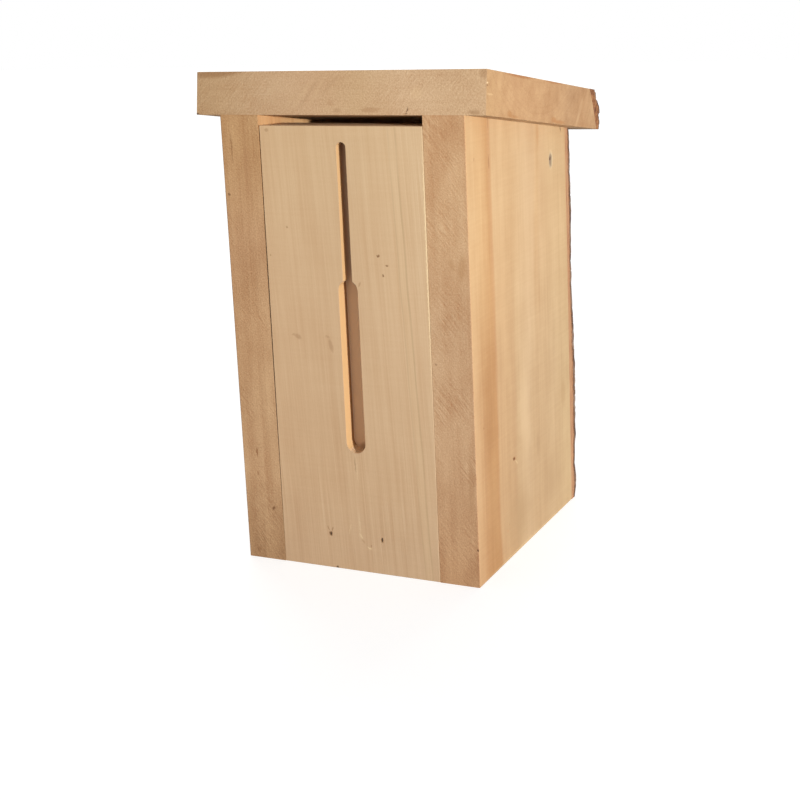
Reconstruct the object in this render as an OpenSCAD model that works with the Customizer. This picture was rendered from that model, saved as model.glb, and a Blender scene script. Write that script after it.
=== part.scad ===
// Bird house of sawn boards, with the bark left on their front edges.
// The back carries a keyhole slot for hanging. The front is a door with the entrance hole,
// which turns on two nails near its top and is held shut by a turn button below.
// Sizes are in millimetres. X runs across the back, Y from the back to the door, Z up.

/* [Boards] */
// Thickness of the sides, back, door and floor
board_t = 25; // [20:0.5:30]
// Width of the nesting space, from side to side
inner_w = 103; // [95:1:150]
// Height of the sides along the back
back_h = 270; // [240:1:340]
// Depth of the sides at their outer face, from the back to the bark
side_depth = 158; // [145:1:200]
// How much deeper the sides are at their inner face, because a log's edge slants
side_wane = 8; // [2:0.5:12]

/* [Roof] */
// Thickness of the roof board
roof_t = 24.5; // [18:0.5:32]
// Fall of the roof towards the front, in degrees
roof_slope = 8.7; // [4:0.1:12]
// Overhang of the roof past each side
roof_side = 14; // [4:0.5:30]
// How far the roof sits off the middle, to the left
roof_shift = 1.5; // [0:0.1:3]
// Overhang of the roof past the back
roof_back = 0.5; // [0:0.5:3]
// Length of the roof's top face down the slope, from the back edge to the bark
roof_top_len = 169; // [155:1:230]
// How much longer the underside of the roof is than its top face
roof_wane = 15.5; // [4:0.5:18]

/* [Bark] */
// Thickness of the bark between its lumps and cracks
bark_t = 9; // [6:0.5:12]
// Height of the bark's lumps
bark_lump = 1.8; // [0.5:0.1:2.5]
// How far a bark edge bows out between the two faces of its board
bark_bow = 1; // [0:0.2:2]

/* [Back and its keyhole slot] */
// Gap between the top of the back and the roof
vent_gap = 6; // [4:0.5:12]
// Wood left above the upper end of the slot
slot_drop = 9; // [7:0.5:20]
// Length of the narrow upper slot, from its round end down to the pocket
neck_len = 78.5; // [50:0.5:110]
// Width of the narrow slot between its lips
neck_w = 6; // [5:0.2:8]
// Length of the wide pocket below, which takes a screw head
pocket_len = 103; // [70:1:120]
// Width of the pocket, and of the hollow behind the lips
pocket_w = 12.4; // [10:0.2:16]
// Depth of the slot
slot_depth = 10; // [8:0.5:14]
// How far the slot sits off the middle, to the right
slot_shift = 0.8; // [0:0.1:3]
// Thickness of the lips that hold the screw head
lip_t = 5; // [3:0.5:6]

/* [Door] */
// How far the door lies back from the bark edge of the sides
door_setback = 15; // [10:0.5:25]
// Gap between the door and each side
door_gap = 1; // [0.5:0.1:2]
// Gap that the door keeps to the roof and the floor as it turns
door_swing_gap = 2; // [1:0.1:3]
// Depth of the pivot nails below the underside of the roof
pivot_drop = 21; // [19:0.5:30]
// Diameter of the entrance hole
entrance_d = 32; // [26:0.5:46]
// Height of the entrance hole's centre above the floor
entrance_h = 150; // [110:1:160]

/* [Floor] */
// Height of the floor's underside above the base
floor_lift = 9; // [4:0.5:20]
// Diameter of the drain holes
drain_d = 8; // [6:0.5:12]
// Distance of the drain holes from the walls of the nesting space
drain_inset = 13; // [10:0.5:18]
// Depth of the rebate along the floor's front edge, which the door closes against
rebate = 8; // [5:0.5:10]

/* [Brads] */
// Diameter of the brads in the back and the sides
brad_d = 1.4; // [1:0.1:2]
// Diameter of their heads
brad_head_d = 2.2; // [2.1:0.1:3.2]
// Length of the brads
brad_len = 45; // [38:1:55]
// Distance of the back's left brad from the middle
back_brad_left = 19; // [10:1:40]
// Distance of the back's right brad from the middle
back_brad_right = 15; // [10:1:40]
// Distance of the side brads from the two ends of the nesting space
side_brad_inset = 21.5; // [18:0.5:30]

/* [Nails] */
// Diameter of the roof nails
roof_nail_d = 2.8; // [2:0.1:4]
// Diameter of their heads
roof_nail_head_d = 5; // [4.2:0.1:8]
// Length of the roof nails
roof_nail_len = 60; // [45:1:80]
// Distance of the first roof nails from the back edge
roof_nail_back = 30; // [20:1:45]
// Distance between the roof nails on one side
roof_nail_gap = 75; // [40:1:95]
// Diameter of the two pivot nails
pivot_d = 3.4; // [2.6:0.1:4.6]
// Diameter of their heads
pivot_head_d = 4.8; // [4.8:0.1:7]
// Length of the two pivot nails
pivot_len = 48; // [40:1:60]
// Play of the pivot nails in the door, and of the latch screw in its button, on the radius
pivot_play = 0.05; // [0.03:0.01:0.1]

/* [Turn button] */
// Thickness of the button
button_t = 6; // [4:0.5:10]
// Width of the button
button_w = 14; // [10:0.5:16]
// Reach of the button from its screw to its tip
button_reach = 26; // [24:0.5:32]
// Diameter of the latch screw
screw_d = 3.6; // [3:0.1:5]
// Length of the latch screw below its head
screw_len = 34; // [24:1:40]
// Diameter of the screw's head
screw_head_d = 7.2; // [6:0.1:8.6]
// Height of the screw's head
screw_head_t = 2.5; // [1.8:0.1:3]
// Diameter of the washer under the button
washer_d = 9.2; // [8:0.1:12]
// Thickness of the washer
washer_t = 1; // [0.5:0.1:2]

/* [Hidden] */
$fn = 64;
over = 1;                 // how far a cut runs past the face that it opens
snug = 0.02;              // room round a nail in its board, on the radius
stop_gap = 0.3;           // room between the closed door and the rebate
face_play = 0.1;          // room on each face of the turn button
head_t = 1;               // thickness of every nail head
sunk = 1;                 // depth of the brads and the pivot nails below the surface
roof_sunk = 0.2;          // depth of the roof nails below the surface

// Colours of the timber, its bark and the metal
pale_wood = [0.83, 0.70, 0.55];
side_wood = [0.87, 0.72, 0.54];
edge_wood = [0.76, 0.61, 0.45];
bark_brown = [0.42, 0.30, 0.23];
zinc = [0.62, 0.62, 0.60];

// Places that follow from the boards
side_x = inner_w / 2;                          // inner face of the right side
outer_x = side_x + board_t;                    // outer face of the right side
roof_w = 2 * (outer_x + roof_side);
floor_top = floor_lift + board_t;
floor_mid = floor_lift + board_t / 2;
door_front = side_depth - door_setback;        // outer face of the door, and front of the floor
door_back = door_front - board_t;
function roof_z(y) = back_h - y * tan(roof_slope);   // underside of the roof at a depth

// The door turns about its mid-thickness, and its top corners pass under the roof
pivot_y = door_front - board_t / 2;
pivot_z = roof_z(pivot_y) - pivot_drop;
corner_r = pivot_drop * cos(roof_slope) - door_swing_gap;
door_top = pivot_z + sqrt(max(corner_r * corner_r - board_t * board_t / 4, 1));
door_bottom = floor_top - rebate + door_swing_gap;

// The slot hangs down from the top of the back
slot_top = back_h - vent_gap - slot_drop;
slot_bottom = slot_top - neck_len - pocket_len;

// The latch screw stands in the middle of the floor's front edge, below the rebate
latch_z = floor_lift + (board_t - rebate) / 2;

// Nails: shank diameter, head diameter, length, and depth of the head below the surface
brad = [brad_d, brad_head_d, brad_len, sunk];
roof_nail = [roof_nail_d, roof_nail_head_d, roof_nail_len, roof_sunk];
pivot_nail = [pivot_d, pivot_head_d, pivot_len, sunk];

// Bark edges: steps across the board and along it, and the lengths of the bark's waves
across = 6;
step = 6.5;
long_swell = 540;
long_lump = 105;
short_lump = 23;
ridge_drift = 97;
left_phase = 80;
right_phase = 230;
roof_phase = 290;

// Distance of a bark edge from the back at share a, from the longer face (0) to the shorter (1)
function edge(a, short, wane) = short + wane * (1 - a) + bark_bow * 4 * a * (1 - a);

// Thickness of the bark at share a across the board and at length b along it:
// a long swell, lumps of two lengths, and ridges that drift across the board
function bark_at(a, b, phase) = bark_t + bark_lump * (
    0.8 * cos(360 * b / long_swell)
    + 0.55 * sin(360 * (b / long_lump + 0.8 * a) + phase)
    + 0.16 * sin(360 * (b / short_lump - 1.3 * a) + 2 * phase)
    + 0.30 * sin(360 * 1.7 * a + 120 * sin(360 * b / ridge_drift + phase)));

function bark_skin(a, b, short, wane, phase) = edge(a, short, wane) + bark_at(a, b, phase);
function shares(n) = [for (i = [0:n]) i / n];

// A strip of bark that runs along Z: x goes across the board and y outwards.
// Its ends lie at z = low, and on a plane that falls by slope from z = high at y = 0.
// Each row of points goes across the skin and back along the wood.
module bark_strip(thick, short, wane, low, high, slope, phase) {
    n = ceil((high - low) / step);
    row = 2 * (across + 1);
    function place(a, y, v) = [thick * a, y, low + (high - y * tan(slope) - low) * v];
    points = [for (v = shares(n)) each concat(
        [for (a = shares(across)) place(a, bark_skin(a, low + (high - low) * v, short, wane, phase), v)],
        [for (a = shares(across)) place(1 - a, edge(1 - a, short, wane), v)])];
    walls = [for (i = [0:n - 1]) for (j = [0:row - 1])
        let (p = i * row + j, q = i * row + (j + 1) % row)
        each [[p, q, p + row], [q, q + row, p + row]]];
    ends = [for (j = [0:across - 1])
        let (p = row - 1 - j, q = p + n * row, r = j + n * row)
        each [[j, p, j + 1], [p, p - 1, j + 1], [r, r + 1, q], [r + 1, q - 1, q]]];
    polyhedron(points, concat(walls, ends));
}

// The origin lies under the middle of the roof, which is the widest part, and half way between
// the roof's back edge and the furthest lump of its bark
roof_reach = max([for (b = shares(ceil(roof_w / step))) for (a = shares(across))
    bark_skin(a, roof_w * (b - 0.5), roof_top_len, roof_wane, roof_phase) * cos(roof_slope)
    + roof_t * a * sin(roof_slope)]) - roof_back;
mid_y = (roof_reach - roof_back) / 2;

module in_house() {
    translate([roof_shift, -mid_y, 0]) children();
}

// Places on the house: the roof's own frame has Y down the slope and Z out of its underside.
// The roof itself is shifted to the left in it, and its nails stay over the sides.
module on_roof(shift = 0) {
    translate([-shift, -roof_back, roof_z(-roof_back)]) rotate([-roof_slope, 0, 0]) children();
}

module both_sides() {
    children();
    mirror([1, 0, 0]) children();
}

// Nails point down -Z, with the surface of the wood at z = 0
module nail(n) {
    translate([0, 0, -n[2]]) cylinder(d = n[0], h = n[2] - n[3]);
    translate([0, 0, -n[3] - head_t]) cylinder(d = n[1], h = head_t);
}

module nail_hole(n, play = snug) {
    translate([0, 0, -n[2] - over]) cylinder(d = n[0] + 2 * play, h = n[2] + over);
    translate([0, 0, -n[3] - head_t]) cylinder(d = n[1] + 2 * snug, h = n[3] + head_t + over);
}

module at_back_brads() {
    for (x = [-back_brad_left, back_brad_right])
        translate([x, 0, floor_mid]) rotate([90, 0, 0]) children();
}

module at_side_brads() {
    both_sides() for (y = [board_t + side_brad_inset, door_back - side_brad_inset])
        translate([outer_x, y, floor_mid]) rotate([0, 90, 0]) children();
}

module at_roof_nails() {
    on_roof() both_sides() for (s = [roof_nail_back, roof_nail_back + roof_nail_gap])
        translate([side_x + board_t / 2, s, roof_t]) children();
}

module at_right_pivot() {
    translate([outer_x, pivot_y, pivot_z]) rotate([0, 90, 0]) children();
}

module at_latch() {
    translate([0, door_front, latch_z]) rotate([-90, 0, 0]) children();
}

// Boards
module under_roof(length) {
    difference() {
        children();
        translate([0, 0, back_h]) rotate([-roof_slope, 0, 0]) translate([-length, -length, 0])
            cube(2 * length);
    }
}

module back_panel() {
    color(pale_wood) in_house() difference() {
        translate([-side_x, 0, 0]) cube([inner_w, board_t, back_h - vent_gap]);
        keyhole_slot();
        at_back_brads() nail_hole(brad);
    }
}

// An upright groove with round ends, from depth near to depth far
module groove(w, low, high, near, far) {
    translate([-w / 2, near, low + w / 2]) cube([w, far - near, high - low - w]);
    for (z = [low + w / 2, high - w / 2])
        translate([0, near, z]) rotate([-90, 0, 0]) cylinder(d = w, h = far - near);
}

module keyhole_slot() {
    translate([slot_shift, 0, 0]) {
        groove(pocket_w, slot_bottom, slot_bottom + pocket_len, -over, slot_depth);
        groove(neck_w, slot_bottom, slot_top, -over, slot_depth);
        groove(pocket_w, slot_bottom, slot_top + (pocket_w - neck_w) / 2, lip_t, slot_depth);
    }
}

module side_board() {
    difference() {
        under_roof(2 * back_h) linear_extrude(back_h) polygon(concat(
            [[side_x, 0]],
            [for (a = shares(across)) [side_x + board_t * a, edge(a, side_depth, side_wane)]],
            [[outer_x, 0]]));
        at_side_brads() nail_hole(brad);
        at_roof_nails() nail_hole(roof_nail);
        at_right_pivot() nail_hole(pivot_nail);
    }
}

module left_side() {
    color(side_wood) in_house() mirror([1, 0, 0]) side_board();
}

module right_side() {
    color(side_wood) in_house() side_board();
}

module side_bark(phase) {
    translate([side_x, 0, 0])
        bark_strip(board_t, side_depth, side_wane, 0, back_h, roof_slope, phase);
}

module left_side_bark() {
    color(bark_brown) in_house() mirror([1, 0, 0]) side_bark(left_phase);
}

module right_side_bark() {
    color(bark_brown) in_house() side_bark(right_phase);
}

module floor_board() {
    color(side_wood) in_house() difference() {
        translate([-side_x, board_t, floor_lift]) cube([inner_w, door_front - board_t, board_t]);
        translate([-side_x - over, door_back - stop_gap, floor_top - rebate])
            cube([inner_w + 2 * over, board_t + 2 * over, rebate + over]);
        both_sides() for (y = [board_t + drain_inset, door_back - drain_inset])
            translate([side_x - drain_inset, y, floor_lift - over])
                cylinder(d = drain_d, h = board_t + 2 * over);
        at_back_brads() nail_hole(brad);
        at_side_brads() nail_hole(brad);
        at_latch() latch_screw_body(snug);
    }
}

module roof_board() {
    color(edge_wood) in_house() difference() {
        on_roof(roof_shift) translate([-roof_w / 2, 0, 0]) rotate([90, 0, 90])
            linear_extrude(roof_w) polygon(concat(
                [[0, 0]],
                [for (a = shares(across)) [edge(a, roof_top_len, roof_wane), roof_t * a]],
                [[0, roof_t]]));
        at_roof_nails() nail_hole(roof_nail);
    }
}

module roof_bark() {
    color(bark_brown) in_house() on_roof(roof_shift) rotate([0, -90, 0])
        bark_strip(roof_t, roof_top_len, roof_wane, -roof_w / 2, roof_w / 2, 0, roof_phase);
}

// The door with its entrance hole, and a blind hole in each edge for the pivot nails
module front_door() {
    color(pale_wood) in_house() difference() {
        translate([door_gap - side_x, door_back, door_bottom])
            cube([inner_w - 2 * door_gap, board_t, door_top - door_bottom]);
        translate([0, door_back - over, floor_top + entrance_h]) rotate([-90, 0, 0])
            cylinder(d = entrance_d, h = board_t + 2 * over);
        both_sides() at_right_pivot() nail_hole(pivot_nail, pivot_play);
    }
}

// Fasteners
module back_brads() {
    color(zinc) in_house() at_back_brads() nail(brad);
}

module side_brads() {
    color(zinc) in_house() at_side_brads() nail(brad);
}

module roof_nails() {
    color(zinc) in_house() at_roof_nails() nail(roof_nail);
}

module left_pivot_nail() {
    color(zinc) in_house() mirror([1, 0, 0]) at_right_pivot() nail(pivot_nail);
}

module right_pivot_nail() {
    color(zinc) in_house() at_right_pivot() nail(pivot_nail);
}

// The turn button lies to one side, so the door is free. Turned up, it overlaps the door.
// Along the screw, Z points out of the floor's front edge, with the floor at z = 0.
button_z = washer_t + face_play;
screw_head_z = button_z + button_t + face_play;

module turn_button() {
    color(side_wood) in_house() at_latch() translate([0, 0, button_z]) difference() {
        union() {
            cylinder(d = button_w, h = button_t);
            translate([0, -button_w / 2, 0]) cube([button_reach - button_w / 2, button_w, button_t]);
            translate([button_reach - button_w / 2, 0, 0]) cylinder(d = button_w, h = button_t);
        }
        translate([0, 0, -over]) cylinder(d = screw_d + 2 * pivot_play, h = button_t + 2 * over);
    }
}

module latch_washer() {
    color(zinc) in_house() at_latch() difference() {
        cylinder(d = washer_d, h = washer_t);
        translate([0, 0, -over]) cylinder(d = screw_d + 2 * snug, h = washer_t + 2 * over);
    }
}

module latch_screw_body(play = 0) {
    translate([0, 0, screw_head_z - screw_len - play])
        cylinder(d = screw_d + 2 * play, h = screw_len + play);
}

// A round head with a cross recess
module latch_screw() {
    slot_w = screw_head_d / 6;
    color(zinc) in_house() at_latch() difference() {
        union() {
            latch_screw_body();
            translate([0, 0, screw_head_z]) intersection() {
                cylinder(d = screw_head_d, h = screw_head_t);
                translate([0, 0, screw_head_t - screw_head_d]) sphere(screw_head_d);
            }
        }
        for (turn = [0, 90]) rotate([0, 0, turn])
            translate([-screw_head_d / 4, -slot_w / 2, screw_head_z + screw_head_t / 2])
                cube([screw_head_d / 2, slot_w, screw_head_t]);
    }
}

back_panel();
left_side();
right_side();
left_side_bark();
right_side_bark();
floor_board();
roof_board();
roof_bark();
front_door();
back_brads();
side_brads();
roof_nails();
left_pivot_nail();
right_pivot_nail();
turn_button();
latch_washer();
latch_screw();
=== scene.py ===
# %% [markdown]
# The imported model is the fixed frame: every board, nail and strip of bark is already in its place
# and at its size. This script gives them their finish, and never moves them. Blender works in
# metres, and the house is measured in millimetres, so one factor turns the one into the other. The
# box of the whole model is kept.

# %% Load the frame
import math

import bmesh
import bpy
from mathutils import Matrix, Vector, noise


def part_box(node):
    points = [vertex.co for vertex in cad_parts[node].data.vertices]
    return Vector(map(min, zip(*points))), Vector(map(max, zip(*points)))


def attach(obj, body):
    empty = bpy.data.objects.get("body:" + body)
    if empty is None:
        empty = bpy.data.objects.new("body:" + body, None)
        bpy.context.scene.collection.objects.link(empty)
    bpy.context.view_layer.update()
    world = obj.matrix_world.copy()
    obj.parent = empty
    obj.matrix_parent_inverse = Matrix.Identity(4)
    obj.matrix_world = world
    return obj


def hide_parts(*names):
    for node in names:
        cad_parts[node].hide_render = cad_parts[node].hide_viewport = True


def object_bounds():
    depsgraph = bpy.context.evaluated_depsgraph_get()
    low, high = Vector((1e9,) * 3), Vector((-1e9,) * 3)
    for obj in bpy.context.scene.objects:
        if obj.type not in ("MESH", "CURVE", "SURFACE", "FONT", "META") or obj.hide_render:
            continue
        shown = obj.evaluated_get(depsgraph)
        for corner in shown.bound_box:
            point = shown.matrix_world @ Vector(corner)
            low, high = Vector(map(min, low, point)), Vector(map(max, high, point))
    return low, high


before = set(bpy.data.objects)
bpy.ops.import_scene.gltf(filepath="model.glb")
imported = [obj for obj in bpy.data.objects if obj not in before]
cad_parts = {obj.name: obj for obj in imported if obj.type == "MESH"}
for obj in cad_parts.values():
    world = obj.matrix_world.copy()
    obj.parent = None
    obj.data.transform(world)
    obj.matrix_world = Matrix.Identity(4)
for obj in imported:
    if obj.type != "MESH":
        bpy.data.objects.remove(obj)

MM = 0.001
cad_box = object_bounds()
house_low, house_high = cad_box
print("house, mm:", [round((b - a) / MM, 1) for a, b in zip(house_low, house_high)])

# %% [markdown]
# The photograph looks at the back of the house from its right and slightly from above. The camera's
# place and angles were solved from the straight edges of the boards, so the render lines up with
# it. The photograph is a crop, so the lens's axis doesn't meet its middle: the shift holds that
# offset.

# %% Camera
IMAGE_PX = 800
FOCAL_PX = 1551.2
AXIS_Y_PX = 330
SENSOR_MM = 36
YAW, PITCH, ROLL = 25.954, 13.384, -2.537
CAMERA_PLACE = Vector((0.4059, -0.8605, 0.3517))


def new_object(name, data):
    """An object in the scene, made from its data."""
    made = bpy.data.objects.new(name, data)
    bpy.context.scene.collection.objects.link(made)
    return made


camera_data = bpy.data.cameras.new("camera")
camera_data.sensor_width = SENSOR_MM
camera_data.lens = FOCAL_PX / IMAGE_PX * SENSOR_MM
camera_data.shift_y = (AXIS_Y_PX - IMAGE_PX / 2) / IMAGE_PX
camera = new_object("camera", camera_data)
camera.matrix_world = (Matrix.Translation(CAMERA_PLACE)
                       @ Matrix.Rotation(math.radians(YAW), 4, "Z")
                       @ Matrix.Rotation(math.radians(90 - PITCH), 4, "X")
                       @ Matrix.Rotation(math.radians(ROLL), 4, "Z"))
bpy.context.scene.camera = camera
bpy.context.scene.view_settings.view_transform = "Standard"
print("lens, mm:", round(camera_data.lens, 1))

# %% [markdown]
# Every material here is made of nodes. One small function adds a node: what kind it is, what goes
# into its inputs, and its settings, with the stops of a colour ramp among them. Colours are written
# as on a web page, in sRGB, and one more function turns them into the linear values that a shader
# needs.

# %% Helpers for nodes
def linear(hex_colour):
    """The linear colour of an sRGB value such as "D0AE89"."""
    shares = [int(hex_colour[i:i + 2], 16) / 255 for i in (0, 2, 4)]
    return [s / 12.92 if s <= 0.04045 else ((s + 0.055) / 1.055) ** 2.4 for s in shares] + [1]


def add(tree, kind, inputs=(), out=0, stops=(), **settings):
    """Adds a node, fills its inputs with values or links, and gives back one of its outputs."""
    node = tree.nodes.new("ShaderNode" + kind)
    for key, value in settings.items():
        setattr(node, key, value)
    for place, (share, hex_colour) in enumerate(stops):
        marks = node.color_ramp.elements
        mark = marks[place] if place < len(marks) else marks.new(share)
        mark.position, mark.color = share, linear(hex_colour)
    for key, value in dict(inputs).items():
        if isinstance(value, bpy.types.NodeSocket):
            tree.links.new(value, node.inputs[key])
        else:
            node.inputs[key].default_value = value
    return None if out is None else node.outputs[out]


def new_material(name):
    """An empty material, and its tree of nodes."""
    material = bpy.data.materials.new(name)
    material.use_nodes = True
    material.node_tree.nodes.clear()
    return material, material.node_tree


# %% [markdown]
# The light is plain. A low sun stands to the right of the photographed side and only grazes it,
# which lights the left wall of the slot and leaves its floor in shade. The world gives the rest, at
# a level where a surface that faces both shows its colour as it is written. A wide, weak light from
# behind keeps the door's side from going dull. The white behind the house comes from the world as
# the camera sees it, and puts no light on the house.

# %% Light
AMBIENT = 0.45
WHITE = 1.0
SUN_TOWARDS = Vector((0.866, -0.5, 0.07))
SUN_STRENGTH = 3.39
SUN_ANGLE = 3
FILL_TOWARDS = Vector((-0.35, 0.85, 0.4))
FILL_STRENGTH = 2.0
FILL_ANGLE = 60


def seen_directly(tree):
    """1 where a ray comes from the camera or a reflection, and 0 where it gathers light."""
    rays = tree.nodes.new("ShaderNodeLightPath")
    seen, shine, through = (rays.outputs["Is %s Ray" % kind]
                            for kind in ("Camera", "Glossy", "Transmission"))
    shiny = add(tree, "Math", {0: shine, 1: through}, operation="MAXIMUM")
    return add(tree, "Math", {0: seen, 1: shiny}, operation="MAXIMUM")


def make_sun(name, towards, strength, angle):
    data = bpy.data.lights.new(name, "SUN")
    data.energy = strength
    data.angle = math.radians(angle)
    new_object(name, data).rotation_euler = towards.to_track_quat("Z", "Y").to_euler()


world = bpy.data.worlds.new("studio")
bpy.context.scene.world = world
world.use_nodes = True
world.node_tree.nodes.clear()
lit = add(world.node_tree, "Background", {"Color": (1, 1, 1, 1), "Strength": AMBIENT})
seen = add(world.node_tree, "Background", {"Color": (1, 1, 1, 1), "Strength": WHITE})
both = add(world.node_tree, "MixShader", {0: seen_directly(world.node_tree), 1: lit, 2: seen})
add(world.node_tree, "OutputWorld", {"Surface": both}, out=None)
make_sun("key", SUN_TOWARDS, SUN_STRENGTH, SUN_ANGLE)
make_sun("fill", FILL_TOWARDS, FILL_STRENGTH, FILL_ANGLE)

# %% [markdown]
# The floor is a plain pale sheet. It scatters the light as paper does, so the house's shadow lies
# on it, and it shines a little for the camera alone, which brings it up to the white behind it.

# %% Floor
FLOOR_REACH = 4.0
FLOOR_GLOW = 0.72

bm = bmesh.new()
bmesh.ops.create_grid(bm, x_segments=1, y_segments=1, size=FLOOR_REACH)
floor_mesh = bpy.data.meshes.new("floor")
bm.to_mesh(floor_mesh)
bm.free()
floor = new_object("floor", floor_mesh)
paper, tree = new_material("white_paper")
scatter = add(tree, "BsdfDiffuse", {"Color": linear("BCBCBC")})
glow = add(tree, "Emission", {"Color": (1, 1, 1, 1), "Strength": FLOOR_GLOW})
glow_seen = add(tree, "MixShader", {0: seen_directly(tree), 2: glow})
sheet = add(tree, "AddShader", {0: scatter, 1: glow_seen})
add(tree, "OutputMaterial", {"Surface": sheet}, out=None)
floor_mesh.materials.append(paper)
print("floor:", floor.name)

# %% [markdown]
# The patterns on the boards are measured in millimetres. A board's frame is the house's own, with X
# from the middle of the back and Y from its face, so that a mark can be put where it was measured.
# The house's middle lies 1.5 mm to the right of the roof's. The roof has its own frame, which is
# turned by its slope: Y runs down the slope, and Z is the height above its underside. The sizes
# that come back have names: where a side's inner and outer face stand, how thick a board is, how
# high the house and its back panel are, and where the roof ends, how long it is across the house
# and how thick.

# %% Frames for the patterns
panel_low, panel_high = (Vector(corner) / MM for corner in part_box("back_panel"))
HOUSE_X = (panel_low.x + panel_high.x) / 2
BACK_Y = panel_low.y
INNER_X, OUTER_X, BOARD_MM = 51.5, 76.5, 25
HOUSE_HIGH, PANEL_HIGH = 270, 264
ROOF_RIGHT, ROOF_LONG, ROOF_THICK = 89, 181, 24.5
SLOPE = math.radians(8.7)
ROOF_BACK = 0.5
BOARD_FRAME = ((HOUSE_X, BACK_Y, 0), (0, 0, 0))
ROOF_FRAME = ((HOUSE_X, BACK_Y - ROOF_BACK, HOUSE_HIGH + ROOF_BACK * math.tan(SLOPE)),
              (-SLOPE, 0, 0))
print("middle and back face of the house, mm:", round(HOUSE_X, 3), round(BACK_Y, 3))


def place_mm(tree, board_frame):
    """The point on the object in a board's frame, in millimetres."""
    point = add(tree, "TexCoord", out="Object")
    point = add(tree, "VectorMath", {0: point, "Scale": 1 / MM}, operation="SCALE")
    origin, turn = board_frame
    return add(tree, "Mapping", {"Vector": point, "Location": origin, "Rotation": turn},
               vector_type="TEXTURE")

# %% [markdown]
# A board is a slice of a log, and its figure follows from that. The yearly rings are cylinders
# round the pith, and the fibres run along it, so one solid pattern shows as lines on a face and as
# arcs on an end. A point is turned into the log's frame, with Z along the grain. Its distance from
# the pith, with a slow waver, gives its ring: pale early wood, and a thin darker line of late wood
# in the last half of the year. No two years are alike, so each line gets its own strength.

# %% The figure of wood
LATE_START, LATE_END = 0.45, 0.93
WAVER_SIZE = (40, 40, 260)


def mottle(tree, at, size, detail=2.0, roughness=0.5):
    """Soft lumps from 0 to 1 that measure about size, in mm along X, Y and Z."""
    small = add(tree, "VectorMath", {0: at, 1: size}, operation="DIVIDE")
    lumps = add(tree, "TexNoise", {"Vector": small, "Scale": 1.0, "Detail": detail,
                                   "Roughness": roughness})
    return add(tree, "MapRange", {0: lumps, 1: 0.28, 2: 0.72})


def ring_lines(tree, log, ring_mm, waver_mm):
    """The yearly rings round the log's axis: 0 in early wood, and 1 on the line of late wood."""
    slow = add(tree, "VectorMath", {0: log, 1: WAVER_SIZE}, operation="DIVIDE")
    slow = add(tree, "TexNoise", {"Vector": slow, "Scale": 1.0, "Roughness": 0.4}, out=1)
    slow = add(tree, "VectorMath", {0: slow, 1: (0.5, 0.5, 0.5)}, operation="SUBTRACT")
    bent = add(tree, "VectorMath", {0: slow, 1: (4 * waver_mm, 4 * waver_mm, 0), 2: log},
               operation="MULTIPLY_ADD")
    flat = add(tree, "VectorMath", {0: bent, 1: (1, 1, 0)}, operation="MULTIPLY")
    radius = add(tree, "VectorMath", {0: flat}, out="Value", operation="LENGTH")
    year = add(tree, "Math", {0: radius, 1: ring_mm}, operation="DIVIDE")
    share = add(tree, "Math", {0: year}, operation="FRACT")
    rise = add(tree, "MapRange", {0: share, 1: LATE_START, 2: LATE_END},
               interpolation_type="SMOOTHSTEP")
    fall = add(tree, "MapRange", {0: share, 1: LATE_END, 3: 1.0, 4: 0.0})
    line = add(tree, "Math", {0: rise, 1: fall}, operation="MULTIPLY")
    year = add(tree, "Math", {0: year}, operation="FLOOR")
    luck = add(tree, "TexNoise", {"W": year, "Scale": 0.77, "Detail": 0.0}, noise_dimensions="1D")
    luck = add(tree, "MapRange", {0: luck, 1: 0.35, 2: 0.65, 3: 0.15})
    return add(tree, "Math", {0: line, 1: luck}, operation="MULTIPLY")


def sum_up(tree, parts):
    """0.5 plus each pattern, taken about its own middle, times its weight."""
    total = 0.5 - sum(weight * middle for _, weight, middle in parts)
    for pattern, weight, _ in parts:
        total = add(tree, "Math", {0: pattern, 1: weight, 2: total}, operation="MULTIPLY_ADD")
    return total

# %% [markdown]
# Marks are what make one board differ from the next: a pin knot, a speck, a stain, a scuff. Each is
# a small patch with a place, a size and a turn. The distance to its middle is measured in its own
# size, after a little noise has frayed its edge. Wide stains go the same way, with a longer and
# softer fray. A mark is given in the plane of its face, so two places and one turn are enough.

# %% Marks on a board
def add_marks(tree, at, colour, marks, fray_mm=1.6, inner_share=0.35):
    """A mark is a centre and half sizes in mm, an sRGB colour, a strength and its turns."""
    fray = add(tree, "TexNoise", {"Vector": at, "Scale": 1 / fray_mm, "Detail": 3.0}, out=1)
    fray = add(tree, "VectorMath", {0: fray, 1: (0.5, 0.5, 0.5)}, operation="SUBTRACT")
    at = add(tree, "VectorMath", {0: fray, 1: (fray_mm, fray_mm, fray_mm), 2: at},
             operation="MULTIPLY_ADD")
    for centre, size, hex_colour, strength, turns in marks:
        near = add(tree, "Mapping", {"Vector": at, "Location": centre, "Scale": size,
                                     "Rotation": turns}, vector_type="TEXTURE")
        near = add(tree, "VectorMath", {0: near}, out="Value", operation="LENGTH")
        cover = add(tree, "MapRange", {0: near, 1: inner_share, 3: strength, 4: 0.0},
                    interpolation_type="SMOOTHSTEP")
        colour = add(tree, "Mix", {0: cover, 6: colour, 7: linear(hex_colour)}, out=2,
                     data_type="RGBA")
    return colour


def on_face(axis, stands_at, rows):
    """Marks on a face across an axis: two places, half sizes, colour, strength, any degrees."""
    marks = []
    for places, size, hex_colour, strength, *degrees in rows:
        centre, turns = list(places), [0, 0]
        centre.insert(axis, stands_at)
        turns.insert(axis, math.radians(degrees[0]) if degrees else 0)
        marks.append((centre, size, hex_colour, strength, turns))
    return marks

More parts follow.
